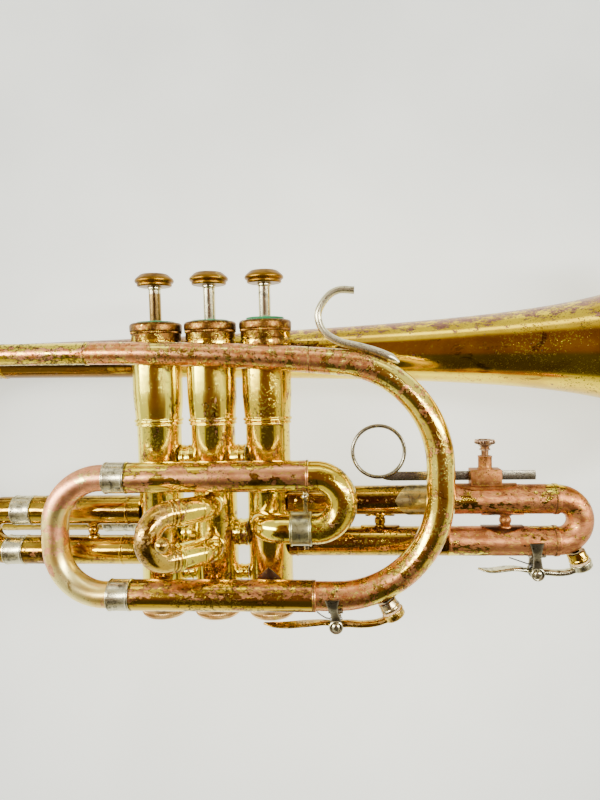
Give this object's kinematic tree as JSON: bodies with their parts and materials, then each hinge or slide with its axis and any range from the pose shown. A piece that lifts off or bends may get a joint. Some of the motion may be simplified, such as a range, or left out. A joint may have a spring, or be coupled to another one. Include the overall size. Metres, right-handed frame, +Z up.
{
  "type": "cornet",
  "caption": "Long-model valved cornet lying on its side, with pull-out slides, finger ring, water keys and a flared bell.",
  "frame": {"origin": "centre of the footprint, on the table that the cornet lies on", "axes": "+X from the mouthpiece towards the bell, +Y along the valves towards the finger buttons, +Z up from the table; the instrument lies on its left side, tilted by the bell's rim and the crook that it rests on"},
  "size_m": [0.4704, 0.1854, 0.1189],
  "materials": {
    "lacquered_brass": "worn yellow lacquer with brown and pink freckles",
    "worn_brass": "lacquer worn through to reddish bare brass",
    "coppery_brass": "bare pinkish brass with remains of lacquer",
    "tarnished_brass": "dark olive-brown tarnish, worn bright on the edges",
    "nickel_silver": "dull silver-grey with fine scratches",
    "nickel_alloy": "smooth satin",
    "spring_steel": "dull",
    "silver_plate": "bright with light tarnish",
    "felt": "green wool felt"
  },
  "bodies": {
    "root": {"valve_1_casing": "lacquered_brass", "valve_1_top_cap": "tarnished_brass", "valve_1_bottom_cap": "lacquered_brass", "valve_1_felt": "felt", "valve_1_guide": "nickel_alloy", "valve_1_spring": "spring_steel", "valve_2_casing": "lacquered_brass", "valve_2_top_cap": "tarnished_brass", "valve_2_bottom_cap": "lacquered_brass", "valve_2_felt": "felt", "valve_2_guide": "nickel_alloy", "valve_2_spring": "spring_steel", "valve_3_casing": "lacquered_brass", "valve_3_top_cap": "tarnished_brass", "valve_3_bottom_cap": "lacquered_brass", "valve_3_felt": "felt", "valve_3_guide": "nickel_alloy", "valve_3_spring": "spring_steel", "bell": "lacquered_brass", "bell_crook": "lacquered_brass", "bell_tail": "nickel_silver", "main_bow": "worn_brass", "leadpipe": "coppery_brass", "mouthpiece_receiver": "lacquered_brass", "upper_main_tube": "coppery_brass", "lower_main_tube": "worn_brass", "return_bow": "lacquered_brass", "valve_3_elbow": "lacquered_brass", "first_slide_sleeves": "lacquered_brass", "second_slide_sleeve_upper": "lacquered_brass", "second_slide_sleeve_lower": "lacquered_brass", "third_slide_sleeves": "lacquered_brass", "water_key_saddle": "nickel_silver", "pinky_hook": "nickel_silver", "bell_brace": "nickel_silver"},
    "valve_1": {"valve_1_piston": "nickel_alloy", "valve_1_stem": "tarnished_brass", "valve_1_button": "tarnished_brass"},
    "valve_2": {"valve_2_piston": "nickel_alloy", "valve_2_stem": "nickel_silver", "valve_2_button": "tarnished_brass"},
    "valve_3": {"valve_3_piston": "nickel_alloy", "valve_3_stem": "nickel_silver", "valve_3_button": "tarnished_brass"},
    "tuning_slide": {"tuning_slide_bow": "worn_brass", "tuning_slide_leg_upper": "nickel_silver", "tuning_slide_leg_lower": "nickel_silver"},
    "first_slide": {"first_slide_bow": "lacquered_brass", "first_slide_leg_upper": "nickel_silver", "first_slide_leg_lower": "nickel_silver"},
    "second_slide": {"second_slide_crook": "lacquered_brass"},
    "third_slide": {"third_slide_bow": "coppery_brass", "third_slide_leg_upper": "coppery_brass", "third_slide_leg_lower": "coppery_brass", "ring_block": "coppery_brass"},
    "finger_ring": {"finger_ring": "nickel_silver"},
    "thumb_screw": {"thumb_screw": "coppery_brass"},
    "water_key": {"water_key_lever": "lacquered_brass"},
    "third_water_key": {"third_water_key_lever": "nickel_silver"},
    "mouthpiece": {"mouthpiece": "silver_plate"}
  },
  "joints": [
    {"name": "valve_1_press", "type": "slide", "parent": "root", "child": "valve_1", "axis": [0, -0.9906, -0.1369], "range_m": [0, 0.015], "stiffness_N_per_m": 120, "springref_m": -0.02, "deforming": ["valve_1_spring"]},
    {"name": "valve_2_press", "type": "slide", "parent": "root", "child": "valve_2", "axis": [0, -0.9906, -0.1369], "range_m": [0, 0.015], "stiffness_N_per_m": 120, "springref_m": -0.02, "deforming": ["valve_2_spring"]},
    {"name": "valve_3_press", "type": "slide", "parent": "root", "child": "valve_3", "axis": [0, -0.9906, -0.1369], "range_m": [0, 0.015], "stiffness_N_per_m": 120, "springref_m": -0.02, "deforming": ["valve_3_spring"]},
    {"name": "main_tuning_slide_pull", "type": "slide", "parent": "root", "child": "tuning_slide", "axis": [-0.9935, 0.0156, -0.113], "range_m": [0, 0.048]},
    {"name": "first_slide_pull", "type": "slide", "parent": "root", "child": "first_slide", "axis": [-0.9935, 0.0156, -0.113], "range_m": [0, 0.04]},
    {"name": "second_slide_pull", "type": "slide", "parent": "root", "child": "second_slide", "axis": [-0.8146, -0.0794, 0.5745], "range_m": [0, 0.009]},
    {"name": "third_slide_pull", "type": "slide", "parent": "root", "child": "third_slide", "axis": [0.9935, -0.0156, 0.113], "range_m": [0, 0.05]},
    {"name": "finger_ring_shift", "type": "slide", "parent": "third_slide", "child": "finger_ring", "axis": [0.9935, -0.0156, 0.113], "range_m": [-0.012, 0.026]},
    {"name": "thumb_screw_turn", "type": "hinge", "parent": "third_slide", "child": "thumb_screw", "pos_m": [0.11914, -0.01746, 0.06486], "axis": [0, 0.9906, 0.1369], "range_deg": [0, 360]},
    {"name": "water_key_open", "type": "hinge", "parent": "root", "child": "water_key", "pos_m": [0.04828, -0.08972, 0.06545], "axis": [0.1141, 0.136, -0.9841], "range_deg": [0, 8], "stiffness_Nm_per_rad": 0.05, "springref_deg": -34.38},
    {"name": "third_water_key_open", "type": "hinge", "parent": "third_slide", "child": "third_water_key", "pos_m": [0.14149, -0.0715, 0.05998], "axis": [0.1141, 0.136, -0.9841], "range_deg": [0, 11], "stiffness_Nm_per_rad": 0.05, "springref_deg": -34.38},
    {"name": "mouthpiece_pull", "type": "slide", "parent": "root", "child": "mouthpiece", "axis": [-0.9934, 0.026, -0.1116], "range_m": [0, 0.03]}
  ]
}
